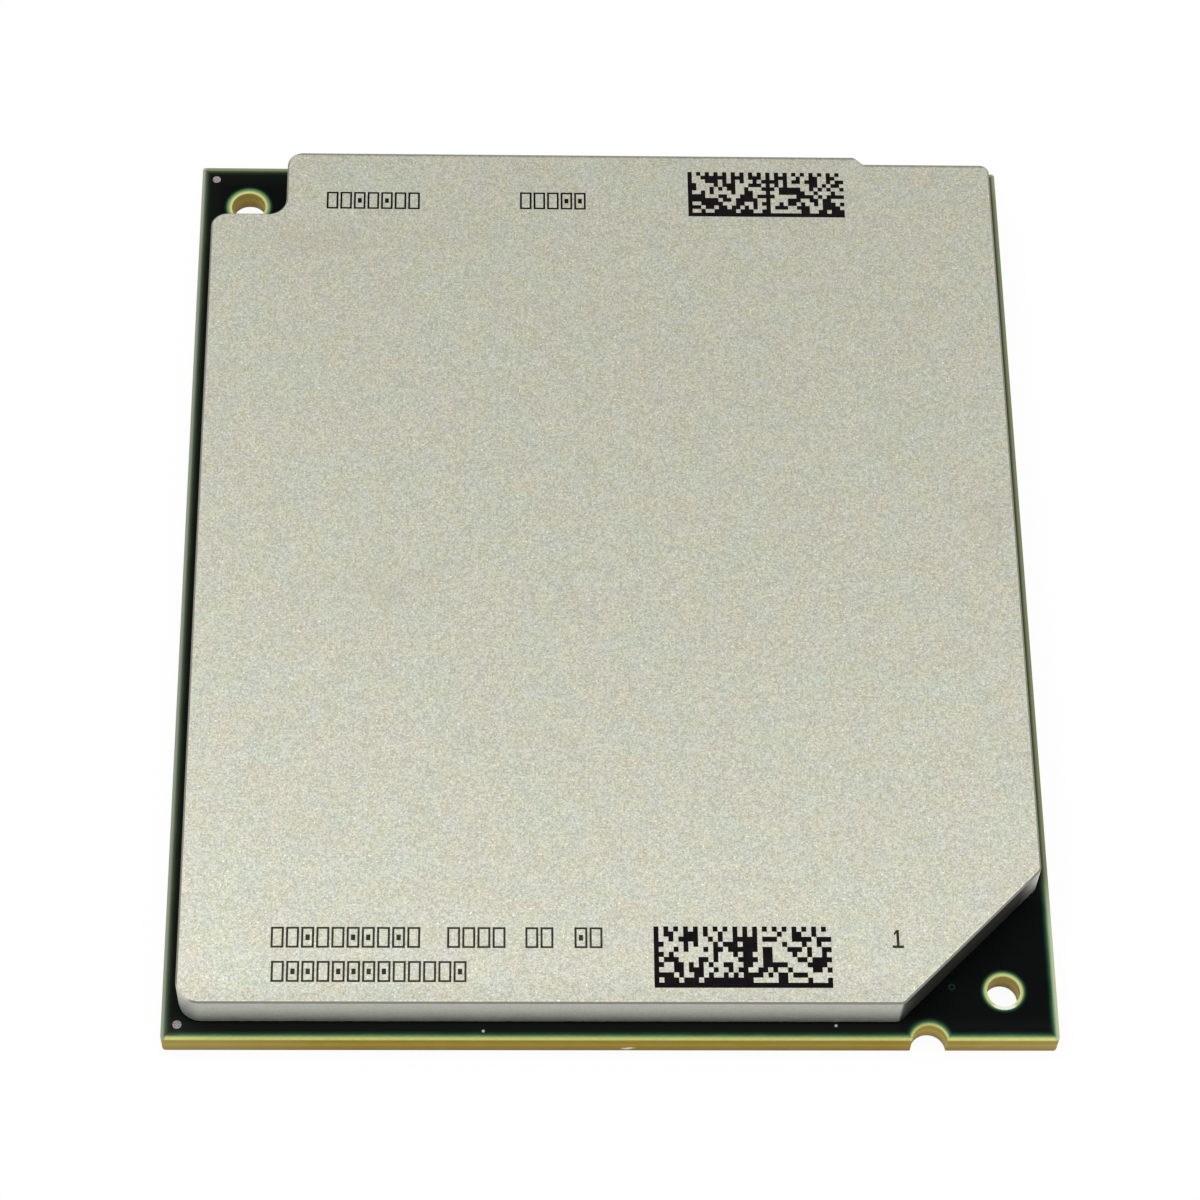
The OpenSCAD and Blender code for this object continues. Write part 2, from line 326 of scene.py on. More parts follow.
@cache
def outline_effect() -> bpy.types.NodeTree:
    """How far a place on the board is from what bounds it.

    Returns:
        The group, with outputs Edge, Bore and Notch, in metres, that are 0 on the outer sides,
        on the rings round the two holes and on the ring round the notch.
    """
    vectors = ["Vector", "Middle", "Front hole", "Rear hole", "Notch axis"]
    numbers = ["Half width", "Half depth", "Front radius", "Rear radius", "Notch radius"]
    effect = Effect("Board outline", vectors, numbers, ["Edge", "Bore", "Notch"])
    flat = effect.vector("MULTIPLY", effect.given["Vector"], (1.0, 1.0, 0.0))

    def ring(axis: str, radius: str) -> Socket:
        """How far the place lies outside a ring."""
        return effect.minus(effect.vector("DISTANCE", flat, effect.given[axis]), effect.given[radius])

    across = effect.vector("ABSOLUTE", effect.vector("SUBTRACT", flat, effect.given["Middle"]))
    x, y, _ = effect.parts(across)
    side = effect.minus(effect.given["Half width"], x)
    end = effect.minus(effect.given["Half depth"], y)
    bore = effect.least(ring("Front hole", "Front radius"), ring("Rear hole", "Rear radius"))
    effect.feed(effect.result["Edge"], effect.least(side, end))
    effect.feed(effect.result["Bore"], bore)
    effect.feed(effect.result["Notch"], ring("Notch axis", "Notch radius"))
    return effect.tree


class Surface(Graph):
    """A material in the making: one Principled shader and the nodes that feed it."""

    def __init__(self, name: str) -> None:
        """Make the material.

        Args:
            name: The material's name.
        """
        self.material = bpy.data.materials.new(name)
        self.material.use_nodes = True
        super().__init__(self.material.node_tree)
        self.shader = self.tree.nodes["Principled BSDF"]
        coordinates = self.add("ShaderNodeTexCoord")
        self.place = coordinates.outputs["Object"]
        self.facing = coordinates.outputs["Normal"]

    def shade(self, inputs: Mapping[str, Feed]) -> None:
        """Set what the shader's inputs get, by their names."""
        for name, feed in inputs.items():
            self.feed(self.shader.inputs[name], feed)

    def relief(self, height: Feed, depth: float) -> None:
        """Roughen the surface.

        Args:
            height: The relief, from 0 to 1.
            depth: How deep it is, in metres.
        """
        bump = self.add("ShaderNodeBump", {"Height": height, "Distance": depth})
        self.feed(self.shader.inputs["Normal"], bump.outputs["Normal"])

    def grain(self, width: float) -> bpy.types.NodeOutputs:
        """Fine and broad mottling with grains of this width, in metres."""
        return self.group(grain_effect(), {"Vector": self.place, "Width": width})

    def spot(self, centre: Point, reach: Point, softness: float) -> Socket:
        """Mask an oval spot.

        Args:
            centre: Its centre, in millimetres.
            reach: Its half sizes, in millimetres.
            softness: How soft its rim is, as a share of its size.

        Returns:
            The mask.
        """
        inputs = {
            "Vector": self.place,
            "Centre": Vector(centre) * MM,
            "Reach": Vector(reach) * MM,
            "Softness": softness,
        }
        return self.group(spot_effect(), inputs)["Mask"]


@dataclass(frozen=True)
class Mottled:
    """A plain finish: two colours in fine grains, with some broader blots and a slight relief.

    The grain's width and the relief's depth are in millimetres.
    """

    name: str
    dark: Colour
    light: Colour
    grain: float
    shiny: float
    dull: float
    depth: float
    metallic: float = 0.0
    specular: float = 0.5

    def material(self) -> bpy.types.Material:
        """Make the material.

        Returns:
            The material.
        """
        surface = Surface(self.name)
        grain = surface.grain(self.grain * MM)
        both = surface.math("ADD", grain["Fine"], grain["Broad"])
        surface.shade({
            "Base Color": surface.mix(surface.step(both, *DOUBLE_SWING), self.dark, self.light),
            "Roughness": surface.step(grain["Broad"], *SWING, self.shiny, self.dull),
            "Metallic": self.metallic,
            "Specular IOR Level": self.specular,
        })
        surface.relief(grain["Fine"], self.depth * MM)
        return surface.material


@dataclass(frozen=True)
class Openings:
    """Where the board's holes and notch are, from the record's mounts, in metres."""

    front: Vector
    rear: Vector
    notch: Vector
    front_r: float
    rear_r: float
    notch_r: float

    @classmethod
    def from_record(cls) -> "Openings":
        """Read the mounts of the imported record.

        Returns:
            The openings.
        """
        mounts = {mount["name"]: mount for mount in frame["record"]["mounts"]}
        names = ("front_locating_hole", "rear_locating_hole", "keying_notch")
        places = [Vector((*mounts[name]["pos_m"][:2], 0.0)) for name in names]
        radii = [mounts[name]["dims"]["r_mm"] * MM for name in names]
        return cls(*places, *radii)

    def distances(self, surface: Surface, low: Vector, high: Vector, rings: Point) -> bpy.types.NodeOutputs:
        """Place the outline effect for one layer of the board.

        Args:
            surface: The material that it goes into.
            low: The layer's lowest corner.
            high: Its highest corner.
            rings: How far it keeps from the front hole, the rear hole and the notch, in millimetres.

        Returns:
            The effect's outputs.
        """
        middle = (low + high) / 2
        half = (high - low) / 2
        inputs = {
            "Vector": surface.place,
            "Middle": (middle.x, middle.y, 0.0),
            "Half width": half.x,
            "Half depth": half.y,
            "Front hole": self.front,
            "Rear hole": self.rear,
            "Notch axis": self.notch,
            "Front radius": self.front_r + rings[0] * MM,
            "Rear radius": self.rear_r + rings[1] * MM,
            "Notch radius": self.notch_r + rings[2] * MM,
        }
        return surface.group(outline_effect(), inputs)


@dataclass(frozen=True)
class Stain:
    """A faint stain on the lid: its centre and half sizes, in millimetres, and its strength."""

    centre: Flat
    reach: Flat
    strength: float


@dataclass(frozen=True)
class BlastedNickel:
    """Bead-blasted nickel plate: satin, finely mottled, with faint stains from handling, painted glints, and
    painted light and shade on its edges and walls.

    Lengths are in millimetres. Spans that end in up, back, side or slant are parts of the unit normal,
    between which the painted light and shade of one face passes into that of the next.
    """

    dark: Colour = srgb(154, 154, 139)
    light: Colour = srgb(193, 193, 177)
    fine_grain: float = 0.15
    coarse_grain: float = 0.28
    coarse_share: float = 0.4
    depth: float = 0.003
    roughness: float = 0.38
    unevenness: float = 0.012

    glint: Colour = srgb(220, 220, 207)
    glint_grain: float = 0.18
    glint_aside: Point = (0.11, 0.23, 0.07)
    glint_swing: Span = (0.64, 0.8)

    warm: Colour = (1.015, 1.0, 0.955, 1.0)
    cool: Colour = (0.985, 1.0, 1.04, 1.0)
    rosy: Colour = (1.02, 0.99, 0.99, 1.0)
    green: Colour = (0.985, 1.01, 1.0, 1.0)
    cast: float = 0.7
    broad_cast: float = 2.0
    broad_share: float = 0.6
    warm_swing: Span = (0.36, 0.64)

    stained: Colour = srgb(160, 146, 128)
    stain_grain: float = 1.6
    stain_swing: Span = (0.35, 0.65)
    stain_least: float = 0.2
    stain_depth: float = 1.0
    stain_softness: float = 0.8
    top: float = 6.0
    stains: tuple[Stain, ...] = (
        Stain((-24.0, 31.8), (5.5, 1.6), 0.22),
        Stain((-12.5, 32.4), (4.0, 1.4), 0.16),
        Stain((-18.3, -2.8), (3.2, 2.2), 0.2),
        Stain((32.5, 3.6), (1.6, 4.0), 0.22),
    )

    # Painted light and shade on the walls: the front wall lighter than the top, as if lit from the front;
    # the side and back walls darker; the chamfered wall dark, lightening towards its right end; and a
    # painted highlight on the corner at that end.
    wall: Colour = srgb(197, 197, 193)
    side_wall: Colour = srgb(180, 180, 170)
    shaded_wall: Colour = srgb(84, 86, 84)
    end_highlight: Colour = srgb(240, 240, 236)
    wall_dark: Colour = (0.93, 0.93, 0.93, 1.0)
    wall_light: Colour = (1.07, 1.07, 1.07, 1.0)
    wall_roughness: float = 0.5
    wall_up: Span = (0.1, 0.4)
    side_wall_back: Span = (-0.6, -0.2)
    shaded_slant: Span = (0.85, 0.97)
    shaded_x: Span = (32.8, 34.8)
    end_side: Span = (0.8, 0.9)
    end_slant: Span = (0.71, 0.75)

    # Painted shade on the broken edges: darker than the top, darkest where they face back. The front left
    # corner gets a painted highlight in the plate's light colour.
    edge: Colour = srgb(136, 134, 122)
    back_edge_shade: Colour = srgb(92, 91, 82)
    edge_from_up: Span = (0.3, 0.6)
    edge_to_up: Span = (0.8, 0.95)
    back_edge_back: Span = (0.2, 0.6)
    corner_highlight_side: Span = (-0.4, -0.2)
    corner_highlight_back: Span = (-0.2, -0.1)

    # Painted shade darkening towards the front edge, and a painted highlight line along it and the chamfer.
    front_shade: Colour = (0.92, 0.92, 0.92, 1.0)
    front_shade_reach: Span = (0.4, 2.2)
    crest_highlight: Colour = (1.12, 1.12, 1.12, 1.0)
    crest_highlight_reach: Span = (0.2, 0.32)
    chamfer_clear: float = 4.05
    # A painted line of shade along the stepped back edge.
    back_shade_line: Colour = (0.58, 0.56, 0.56, 1.0)
    back_shade_line_reach: Span = (0.24, 0.42)
    back_step: float = 0.75
    back_step_l: float = 11.3
    back_step_soft: float = 0.1

    def material(self) -> bpy.types.Material:
        """Make the material.

        Returns:
            The material.
        """
        surface = Surface("lid_nickel")
        fine = surface.grain(self.fine_grain * MM)
        coarse = surface.grain(self.coarse_grain * MM)["Fine"]
        mottle = surface.share(fine["Fine"], coarse, self.coarse_share)
        shade = surface.step(mottle, *SWING)
        colour = surface.mix(shade, self.dark, self.light)
        aside = surface.vector("ADD", surface.place, self.glint_aside)
        glints = surface.noise(aside, self.glint_grain * MM)
        colour = surface.mix(surface.step(glints, *self.glint_swing), colour, self.glint)
        for layer in (self.tint, self.stain, self.crested, self.lined):
            colour = layer(surface, colour)
        side, back, up = surface.parts(surface.facing)
        upright = surface.fade(up, *self.wall_up)
        speckle = surface.mix(shade, self.wall_dark, self.wall_light)
        wall = surface.mix(1.0, self.wall_colour(surface), speckle, "MULTIPLY")
        # Walls take painted light and shade by the way they face.
        colour = surface.mix(upright, colour, wall)
        # Painted shade on the broken edges, darker facing back, with a painted highlight at the front left
        # corner.
        broken = surface.times(surface.step(up, *self.edge_from_up), surface.fade(up, *self.edge_to_up))
        edge = surface.mix(surface.step(back, *self.back_edge_back), self.edge, self.back_edge_shade)
        left = surface.fade(side, *self.corner_highlight_side)
        corner = surface.times(left, surface.fade(back, *self.corner_highlight_back))
        edge = surface.mix(corner, edge, self.light)
        gloss = (self.roughness - self.unevenness, self.roughness + self.unevenness)
        satin = surface.step(fine["Broad"], *SWING, *gloss)
        surface.shade({
            "Base Color": surface.mix(broken, colour, edge),
            "Metallic": 1.0,
            "Roughness": surface.math("MULTIPLY_ADD", upright, self.wall_roughness - self.roughness, satin),
        })
        surface.relief(mottle, self.depth * MM)
        return surface.material

    def tint(self, surface: Surface, colour: Socket) -> Socket:
        """Vary the plate's colour in faint warm, cool, rosy and green blots.

        Args:
            surface: The material that it goes into.
            colour: The plain colour.

        Returns:
            The varied colour.
        """
        blots = surface.grain(self.cast * MM)
        patches = surface.grain(self.broad_cast * MM)["Fine"]
        warmth = surface.share(blots["Fine"], patches, self.broad_share)
        heat = surface.mix(surface.step(warmth, *self.warm_swing), self.cool, self.warm)
        hue = surface.mix(surface.step(blots["Broad"], *SWING), self.green, self.rosy)
        return surface.mix(1.0, surface.mix(1.0, colour, heat, "MULTIPLY"), hue, "MULTIPLY")

    def stain(self, surface: Surface, colour: Socket) -> Socket:
        """Lay the stains over the plate's colour.

        Args:
            surface: The material that it goes into.
            colour: The clean colour.

        Returns:
            The stained colour.
        """
        blots = surface.grain(self.stain_grain * MM)["Fine"]
        patches = surface.step(blots, *self.stain_swing, self.stain_least, 1.0)
        for stain in self.stains:
            centre = (*stain.centre, self.top)
            mask = surface.spot(centre, (*stain.reach, self.stain_depth), self.stain_softness)
            colour = surface.mix(surface.times(mask, patches, stain.strength), colour, self.stained)
        return colour

    def crested(self, surface: Surface, colour: Socket) -> Socket:
        """Paint shade on the lid towards its front edge, with a painted highlight line along that edge and
        the chamfer.

        Args:
            surface: The material that it goes into.
            colour: The plain colour.

        Returns:
            The colour with the band and the line.
        """
        hole = Openings.from_record().front
        x, y, _ = surface.parts(surface.place)
        front = surface.minus(y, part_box("lid")[0].y)
        reach = (hole.x - hole.y) * DIAGONAL - self.chamfer_clear * MM
        across = surface.times(surface.minus(x, y), DIAGONAL)
        inside = surface.least(front, surface.minus(reach, across))
        band = surface.fade(front, *metres(*self.front_shade_reach))
        line = surface.fade(inside, *metres(*self.crest_highlight_reach))
        colour = surface.mix(band, colour, self.front_shade, "MULTIPLY")
        return surface.mix(line, colour, self.crest_highlight, "MULTIPLY")

    def lined(self, surface: Surface, colour: Socket) -> Socket:
        """Paint a line of shade along the lid's stepped back edge.

        Args:
            surface: The material that it goes into.
            colour: The plain colour.

        Returns:
            The colour with the line.
        """
        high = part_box("lid")[1]
        x, y, _ = surface.parts(surface.place)
        step_x = high.x - self.back_step_l * MM
        soft = self.back_step_soft * MM
        drop = surface.step(x, step_x - soft, step_x + soft, 0.0, self.back_step * MM)
        behind = surface.minus(surface.minus(high.y, drop), y)
        line = surface.fade(behind, *metres(*self.back_shade_line_reach))
        return surface.mix(line, colour, self.back_shade_line, "MULTIPLY")

    def wall_colour(self, surface: Surface) -> Socket:
        """Colour of the upright walls in painted light and shade, dark on the chamfered one and bright at
        its right end.

        Args:
            surface: The material that it goes into.

        Returns:
            The colour.
        """
        x, _, _ = surface.parts(surface.place)
        side, back, _ = surface.parts(surface.facing)
        slant = surface.vector("DOT_PRODUCT", surface.facing, (DIAGONAL, -DIAGONAL, 0.0))
        plain = surface.mix(surface.step(back, *self.side_wall_back), self.wall, self.side_wall)
        shaded = surface.mix(surface.step(x, *metres(*self.shaded_x)), self.shaded_wall, self.wall)
        colour = surface.mix(surface.step(slant, *self.shaded_slant), plain, shaded)
        corner = surface.times(surface.step(side, *self.end_side), surface.step(slant, *self.end_slant))
        return surface.mix(corner, colour, self.end_highlight)


@dataclass(frozen=True)
class SolderMask:
    """Near-black green solder mask, which thins to a green glow along its rim.

    Lengths are in millimetres, and softness is a share of a spot's size.
    """

    openings: Openings
    rings: Point
    height: float = 2.13
    grain: float = 0.35
    depth: float = 0.004
    gloss: Span = (0.36, 0.5)
    specular: float = 0.025

    glow_width: float = 0.46
    wave: float = 0.12
    bore_haste: float = 1.4
    bore_reach: Span = (0.3, 0.6)
    side_reach: Span = (0.5, 2.0)
    right_y: Span = RIGHT_RIM_Y
    glow: tuple[tuple[float, Colour], ...] = (
        (0.0, srgb(90, 132, 84)),
        (0.2, srgb(46, 84, 60)),
        (0.45, srgb(26, 52, 38)),
        (0.75, srgb(10, 19, 15)),
        (1.0, srgb(6, 8, 7)),
    )
    side_glow: tuple[tuple[float, Colour], ...] = (
        (0.0, srgb(76, 88, 64)),
        (0.2, srgb(56, 66, 48)),
        (0.45, srgb(33, 43, 30)),
        (0.75, srgb(20, 27, 18)),
        (1.0, srgb(13, 18, 13)),
    )

    # Painted reflection of the lid's front wall: the mask lighter along the front strip, less so at the
    # right.
    wall_reflection: Colour = (0.006, 0.0075, 0.0055, 1.0)
    wall_reflection_reach: Span = (0.8, 2.0)
    wall_reflection_x: Span = (21.0, 26.0)
    wall_reflection_least: float = 0.25

    dust: Colour = srgb(206, 206, 192)
    specks: tuple[Flat, ...] = ((-10.2, -41.5), (17.9, -41.0))
    speck_r: float = 0.11
    speck_softness: float = 0.5
    via_green: Colour = srgb(28, 62, 50)
    via: Flat = (27.35, -37.65)
    via_r: float = 0.26
    via_softness: float = 0.25
    via_bore_r: float = 0.18
    via_bore_softness: float = 0.3

    def material(self) -> bpy.types.Material:
        """Make the material.

        Returns:
            The material.
        """
        surface = Surface("solder_mask")
        low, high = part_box("solder_mask")
        near = self.openings.distances(surface, low, high, self.rings)
        grain = surface.grain(self.grain * MM)
        bore = surface.times(near["Bore"], self.bore_haste)
        nearest = surface.least(near["Edge"], bore, near["Notch"])
        wave = self.wave * MM
        wavy = surface.math("MULTIPLY_ADD", grain["Broad"], wave, surface.minus(nearest, wave / 2))
        share = surface.math("DIVIDE", wavy, self.glow_width * MM)
        side = surface.times(self.beside(surface, low, high), surface.step(bore, *metres(*self.bore_reach)))
        colour = surface.mix(side, surface.ramp(share, self.glow), surface.ramp(share, self.side_glow))
        x, y, _ = surface.parts(surface.place)
        # Painted reflection of the lid's front wall along the front strip.
        front = surface.fade(surface.minus(y, low.y), *metres(*self.wall_reflection_reach))
        front = surface.times(front, surface.step(x, *metres(*self.wall_reflection_x), 1.0, self.wall_reflection_least))
        colour = surface.mix(front, colour, self.wall_reflection, "ADD")
        for speck in self.specks:
            spot = self.dot(surface, speck, self.speck_r, self.speck_softness)
            colour = surface.mix(spot, colour, self.dust)
        outer = self.dot(surface, self.via, self.via_r, self.via_softness)
        inner = self.dot(surface, self.via, self.via_bore_r, self.via_bore_softness)
        surface.shade({
            "Base Color": surface.mix(surface.minus(outer, inner), colour, self.via_green),
            "Roughness": surface.step(grain["Broad"], *SWING, *self.gloss),
            "Specular IOR Level": self.specular,
        })
        surface.relief(grain["Fine"], self.depth * MM)
        return surface.material

    def beside(self, surface: Surface, low: Vector, high: Vector) -> Socket:
        """Mask the strips along the left, the back and most of the right side.

        Args:
            surface: The material that it goes into.
            low: The mask's lowest corner.
            high: Its highest corner.

        Returns:
            1 in the strips, 0 elsewhere.
        """
        x, y, _ = surface.parts(surface.place)
        gaps = [surface.minus(x, low.x), surface.minus(high.y, y), surface.minus(high.x, x)]
        left, back, right = (surface.fade(gap, *metres(*self.side_reach)) for gap in gaps)
        return surface.most(left, back, surface.times(right, surface.step(y, *metres(*self.right_y))))

    def dot(self, surface: Surface, centre: Flat, radius: float, softness: float) -> Socket:
        """Mask a round spot on top of the mask.

        Args:
            surface: The material that it goes into.
            centre: The spot's centre, in millimetres.
            radius: Its radius, in millimetres.
            softness: How soft its rim is, as a share of its size.

        Returns:
            The mask.
        """
        return surface.spot((*centre, self.height), (radius, radius, radius), softness)


@dataclass(frozen=True)
class Rim:
    """Colours of the bare strip along one side of the board: at the edge, and where the mask begins."""

    outer: Colour
    inner: Colour


@dataclass(frozen=True)
class Laminate:
    """Cut glass-fibre laminate: layered edges, a bare yellow-green rim and a coated underside.

    Lengths are in millimetres. A face counts as top or underside by the upward part of its unit normal.
    """

    openings: Openings
    pitch: float
    land_d: float
    keepout: float
    thickness: float = 2.1
    grain: float = 0.3
    depth: float = 0.012
    gloss: Span = (0.45, 0.62)
    specular: float = 0.05
    level_up: Span = (0.5, 0.7)
    level_down: Span = (-0.7, -0.5)

    layers: tuple[tuple[float, Colour], ...] = (
        (0.0, srgb(136, 116, 60)),
        (0.2, srgb(135, 115, 54)),
        (0.3, srgb(142, 118, 45)),
        (0.45, srgb(154, 129, 45)),
        (0.58, srgb(156, 132, 45)),
        (0.68, srgb(141, 121, 36)),
        (0.86, srgb(137, 118, 33)),
        (1.0, srgb(170, 154, 64)),
    )
    fibre: float = 0.9
    fibre_stretch: Point = (1.0, 1.0, 7.0)
    fibre_detail: float = 3.0
    wobble: float = 0.16
    ply: float = 0.19
    ply_line: Colour = srgb(96, 80, 34)
    ply_swing: Span = (0.2, 1.0)
    ply_strength: float = 0.16
    end_haze: Colour = (0.044, 0.052, 0.034, 1.0)
    end_x: Span = (20.0, 34.0)
    # Painted light: the walls of the holes and the notch are lightened, as if lit from the front.
    bore_wall_light: Colour = (1.42, 1.47, 1.9, 1.0)
    notch_wall_light: Colour = (1.22, 1.3, 1.75, 1.0)
    wall_reach: Span = (0.02, 0.05)

    frayed: Colour = srgb(226, 224, 206)
    chips: tuple[tuple[Point, Point], ...] = (
        ((1.2, -42.25, 0.38), (0.36, 0.3, 0.15)),
        ((1.55, -42.25, 0.5), (0.36, 0.3, 0.12)),
    )
    chip_softness: float = 0.5
    chip_grain: float = 0.12
    chip_detail: float = 2.0
    chip_swing: Span = (0.35, 0.6)
    chip_least: float = 0.3
    frays: tuple[tuple[Point, Point], ...] = (
        ((31.5, -39.5, 2.1), (1.2, 0.4, 0.4)),
        ((35.1, -38.25, 2.1), (0.3, 0.07, 0.2)),
    )
    fray_softness: float = 0.4

    front_rim: Rim = Rim(srgb(197, 199, 122), srgb(96, 132, 86))
    back_rim: Rim = Rim(srgb(124, 131, 95), srgb(92, 102, 70))
    left_rim: Rim = Rim(srgb(144, 151, 133), srgb(72, 79, 64))
    # Painted shade: the right rim, beside the lid, is darker than the corner rim at the front right.
    right_rim: Rim = Rim(srgb(134, 140, 104), srgb(84, 89, 62))
    corner_rim: Rim = Rim(srgb(172, 182, 146), srgb(112, 128, 97))
    rim_reach: Span = (0.12, 0.38)
    back_reach: Span = (1.0, 2.0)
    side_reach: Span = (0.32, 0.42)
    right_y: Span = RIGHT_RIM_Y
    blotted: Colour = srgb(176, 172, 92)
    blot: float = 0.5
    blot_swing: Span = (0.35, 0.7)
    blot_strength: float = 0.3

    hole_rim: Rim = Rim(srgb(194, 198, 128), srgb(112, 134, 82))
    bore_reach: Span = (0.08, 0.36)
    bore_end: Span = (0.5, 0.7)
    notch_reach: Span = (0.06, 0.26)
    notch_end: Span = (0.26, 0.4)
    notch_inset: Span = (0.15, 0.4)
    covered: Colour = srgb(8, 11, 9)
    covered_from: Span = (0.6, 0.7)

    under: Colour = srgb(24, 34, 28)
    under_ring: Colour = srgb(74, 96, 62)
    ring_width: Span = (0.04, 0.09)
    field_inset: Span = (1.5, 1.9)

    def material(self) -> bpy.types.Material:
        """Make the material.

        Returns:
            The material.
        """
        surface = Surface("laminate")
        low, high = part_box("substrate")
        near = self.openings.distances(surface, low, high, (0.0, 0.0, 0.0))
        _, _, up = surface.parts(surface.facing)
        grain = surface.grain(self.grain * MM)
        colour = self.edge_colour(surface, near)
        colour = surface.mix(surface.step(up, *self.level_up), colour, self.rim_colour(surface, near, high))
        colour = surface.mix(surface.fade(up, *self.level_down), colour, self.under_colour(surface, near))
        surface.shade({
            "Base Color": colour,
            "Roughness": surface.step(grain["Broad"], *SWING, *self.gloss),
            "Specular IOR Level": self.specular,
        })
        surface.relief(grain["Fine"], self.depth * MM)
        return surface.material

    def edge_colour(self, surface: Surface, near: bpy.types.NodeOutputs) -> Socket:
        """Colour of the cut edges and of the walls of the openings, with layers, fibres, one chip and
        painted light on the walls of the openings.

        Args:
            surface: The material that it goes into.
            near: Distances to the board's outline.

        Returns:
            The colour.
        """
        x, _, z = surface.parts(surface.place)
        drawn = surface.vector("MULTIPLY", surface.place, self.fibre_stretch)
        streaks = surface.noise(drawn, self.fibre * MM, self.fibre_detail)
        wobble = surface.math("MULTIPLY_ADD", streaks, self.wobble, -self.wobble / 2)
        share = surface.math("MULTIPLY_ADD", z, 1.0 / (self.thickness * MM), wobble)
        colour = surface.ramp(share, self.layers)
        plies = surface.math("SINE", surface.times(z, math.tau / (self.ply * MM)))
        plies = surface.step(plies, *self.ply_swing, 0.0, self.ply_strength)
        colour = surface.mix(plies, colour, self.ply_line)
        ends = surface.step(surface.math("ABSOLUTE", x), *metres(*self.end_x))
        colour = surface.mix(ends, colour, self.end_haze, "ADD")
        # Painted light on the walls of the holes and the notch.
        for opening, painted_lift in (("Bore", self.bore_wall_light), ("Notch", self.notch_wall_light)):
            wall = surface.fade(near[opening], *metres(*self.wall_reach))
            colour = surface.mix(wall, colour, painted_lift, "MULTIPLY")
        rough = surface.noise(surface.place, self.chip_grain * MM, self.chip_detail)
        rough = surface.step(rough, *self.chip_swing, self.chip_least, 1.0)
        for centre, reach in self.chips:
            chip = surface.times(surface.spot(centre, reach, self.chip_softness), rough)
            colour = surface.mix(chip, colour, self.frayed)
        return colour

    def rim_colour(self, surface: Surface, near: bpy.types.NodeOutputs, corner: Vector) -> Socket:
        """Colour of the bare strip along the board's edge and round its openings.

        Args:
            surface: The material that it goes into.
            near: Distances to the board's outline.
            corner: The board's corner at the back and right, in metres.

        Returns:
            The colour.
        """
        x, y, _ = surface.parts(surface.place)

        def strip(rim: Rim, border: str = "Edge", reach: Span = self.rim_reach) -> Socket:
            """Colour of the strip along one side or round an opening."""
            return surface.mix(surface.step(near[border], *metres(*reach)), rim.outer, rim.inner)

        blots = surface.grain(self.blot * MM)["Fine"]
        blots = surface.step(blots, *self.blot_swing, 0.0, self.blot_strength)
        colour = surface.mix(blots, strip(self.front_rim), self.blotted)
        # Painted shade of the lid on the right strip, behind the bright front right corner.
        along = surface.step(y, *metres(*self.right_y))
        right = surface.mix(along, strip(self.corner_rim), strip(self.right_rim))
        for gap, reach, rim in (
            (surface.minus(corner.y, y), self.back_reach, strip(self.back_rim)),
            (surface.minus(corner.x, x), self.side_reach, right),
            (surface.math("ADD", corner.x, x), self.side_reach, strip(self.left_rim)),
        ):
            colour = surface.mix(surface.fade(gap, *metres(*reach)), colour, rim)
        ring = strip(self.hole_rim, "Bore", self.bore_reach)
        colour = surface.mix(surface.fade(near["Bore"], *metres(*self.bore_end)), colour, ring)
        around = surface.fade(near["Notch"], *metres(*self.notch_end))
        around = surface.times(around, surface.step(near["Edge"], *metres(*self.notch_inset)))
        colour = surface.mix(around, colour, strip(self.hole_rim, "Notch", self.notch_reach))
        frays = [surface.spot(centre, reach, self.fray_softness) for centre, reach in self.frays]
        colour = surface.mix(surface.most(*frays), colour, self.frayed)
        nearest = surface.least(near["Edge"], near["Bore"], near["Notch"])
        return surface.mix(surface.step(nearest, *metres(*self.covered_from)), colour, self.covered)

    def under_colour(self, surface: Surface, near: bpy.types.NodeOutputs) -> Socket:
        """Colour of the coated underside, with a bare ring round each land.

        Args:
            surface: The material that it goes into.
            near: Distances to the board's outline.

        Returns:
            The colour.
        """
        pitch = self.pitch * MM
        radius = self.land_d / 2
        cell = surface.vector("FRACTION", surface.vector("DIVIDE", surface.place, (pitch, pitch, 1.0)))
        offset = surface.vector("SUBTRACT", cell, (CELL_HALF, CELL_HALF, 0.0))
        away = surface.vector("MULTIPLY", offset, (pitch, pitch, 0.0))
        rim = metres(*(radius + width for width in self.ring_width))
        ring = surface.fade(surface.vector("LENGTH", away), *rim)
        inside = surface.step(near["Edge"], *metres(*self.field_inset))
        fits = self.land_fits(surface, surface.vector("SUBTRACT", surface.place, away))
        return surface.mix(surface.times(ring, inside, fits), self.under, self.under_ring)

    def land_fits(self, surface: Surface, centre: Socket) -> Socket:
        """Tell whether a land is clear of the corners with holes and of the notch.

        Args:
            surface: The material that it goes into.
            centre: The land's centre.

        Returns:
            1 where there is a land, 0 elsewhere.
        """
        x, y, _ = surface.parts(centre)
        front, rear, notch = self.openings.front, self.openings.rear, self.openings.notch
        gap = surface.least(
            surface.most(surface.minus(front.x, x), surface.minus(y, front.y)),
            surface.most(surface.minus(x, rear.x), surface.minus(rear.y, y)),
            surface.most(surface.math("ABSOLUTE", surface.minus(x, notch.x)), surface.minus(y, notch.y)),
        )
        return surface.math("GREATER_THAN", gap, (self.keepout + self.land_d / 2) * MM)


@dataclass(frozen=True)
class Lamp:
    """A soft lamp that looks at the object. Its place and sides are in metres and its power is in watts."""

    name: str
    place: Point
    power: float
    width: float = 0.3
    depth: float = 0.1
    colour: Point = (0.98, 0.99, 1.08)

    def build(self) -> None:
        """Add the lamp to the scene."""
        light = bpy.data.lights.new(self.name, "AREA")
        light.shape = "RECTANGLE"
        light.size = self.width
        light.size_y = self.depth
        light.energy = self.power
        light.color = self.colour
        lamp = bpy.data.objects.new(self.name, light)
        lamp.location = self.place
        lamp.rotation_euler = (-Vector(self.place)).to_track_quat("-Z", "Y").to_euler()
        bpy.context.scene.collection.objects.link(lamp)


